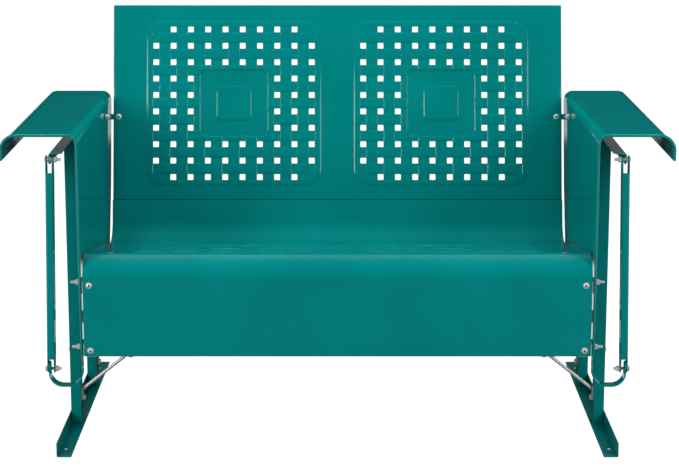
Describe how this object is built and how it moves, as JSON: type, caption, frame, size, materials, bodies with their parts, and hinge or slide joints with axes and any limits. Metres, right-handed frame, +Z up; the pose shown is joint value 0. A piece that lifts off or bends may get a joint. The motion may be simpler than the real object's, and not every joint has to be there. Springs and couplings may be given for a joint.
{
  "type": "glider bench",
  "caption": "Porch glider bench of pierced sheet steel whose seat hangs from a fixed base by four swinging hangers and glides forwards and backwards.",
  "frame": {"origin": "on the floor, below the middle of the bench", "axes": "+X to the right as one faces the bench, +Y to the rear, +Z up"},
  "size_m": [1.283, 0.6763, 0.8238],
  "materials": {
    "teal_paint": "glossy powder coat",
    "zinc_plated_steel": "zinc plated",
    "nylon": "plain"
  },
  "bodies": {
    "base": {"left_floor_rail": "teal_paint", "left_top_rail": "teal_paint", "left_front_post": "teal_paint", "left_rear_post": "teal_paint", "left_front_brace": "zinc_plated_steel", "left_rear_brace": "zinc_plated_steel", "right_floor_rail": "teal_paint", "right_top_rail": "teal_paint", "right_front_post": "teal_paint", "right_rear_post": "teal_paint", "right_front_brace": "zinc_plated_steel", "right_rear_brace": "zinc_plated_steel", "front_cross_bar": "teal_paint", "rear_cross_bar": "teal_paint", "cross_bar_bolts": "zinc_plated_steel", "brace_screws": "zinc_plated_steel", "upper_pivot_bolts": "zinc_plated_steel", "upper_pivot_nuts": "zinc_plated_steel", "upper_pivot_spacers": "nylon"},
    "left_front_hanger": {"left_front_hanger": "teal_paint"},
    "left_rear_hanger": {"left_rear_hanger": "teal_paint"},
    "right_front_hanger": {"right_front_hanger": "teal_paint"},
    "right_rear_hanger": {"right_rear_hanger": "teal_paint"},
    "seat": {"seat_panel": "teal_paint", "back_panel": "teal_paint", "seat_centre_rib": "teal_paint", "left_arm": "teal_paint", "left_seat_rail": "teal_paint", "right_arm": "teal_paint", "right_seat_rail": "teal_paint", "left_front_strap": "teal_paint", "left_rear_strap": "teal_paint", "right_front_strap": "teal_paint", "right_rear_strap": "teal_paint", "strap_bolts": "zinc_plated_steel", "strap_nuts": "zinc_plated_steel", "lower_pivot_bolts": "zinc_plated_steel", "lower_pivot_nuts": "zinc_plated_steel", "apron_brackets": "zinc_plated_steel", "apron_bolts": "zinc_plated_steel", "apron_nuts": "zinc_plated_steel", "back_brackets": "teal_paint", "back_bracket_bolts": "zinc_plated_steel", "back_bracket_nuts": "zinc_plated_steel", "seat_rail_bolts": "zinc_plated_steel", "seat_rail_nuts": "zinc_plated_steel", "seam_bolts": "zinc_plated_steel", "seam_nuts": "zinc_plated_steel"}
  },
  "joints": [
    {"name": "glide", "type": "hinge", "parent": "base", "child": "left_front_hanger", "pos_m": [-0.5493, -0.306, 0.5904], "axis": [1, 0, 0], "range_deg": [-12, 12]},
    {"name": "seat_on_hanger", "type": "hinge", "parent": "left_front_hanger", "child": "seat", "pos_m": [-0.5572, -0.306, 0.176], "axis": [1, 0, 0], "range_deg": [-12, 12]},
    {"name": "right_front_hanger_pivot", "type": "hinge", "parent": "base", "child": "right_front_hanger", "pos_m": [0.5493, -0.306, 0.5904], "axis": [1, 0, 0], "range_deg": [-12, 12]},
    {"name": "left_rear_hanger_pivot", "type": "hinge", "parent": "base", "child": "left_rear_hanger", "pos_m": [-0.5493, 0.306, 0.5904], "axis": [1, 0, 0], "range_deg": [-12, 12]},
    {"name": "right_rear_hanger_pivot", "type": "hinge", "parent": "base", "child": "right_rear_hanger", "pos_m": [0.5493, 0.306, 0.5904], "axis": [1, 0, 0], "range_deg": [-12, 12]}
  ],
  "couplings": [
    {"joint": "seat_on_hanger", "follows": "glide", "ratio": -1},
    {"joint": "right_front_hanger_pivot", "follows": "glide", "ratio": 1},
    {"joint": "left_rear_hanger_pivot", "follows": "glide", "ratio": 1},
    {"joint": "right_rear_hanger_pivot", "follows": "glide", "ratio": 1}
  ]
}
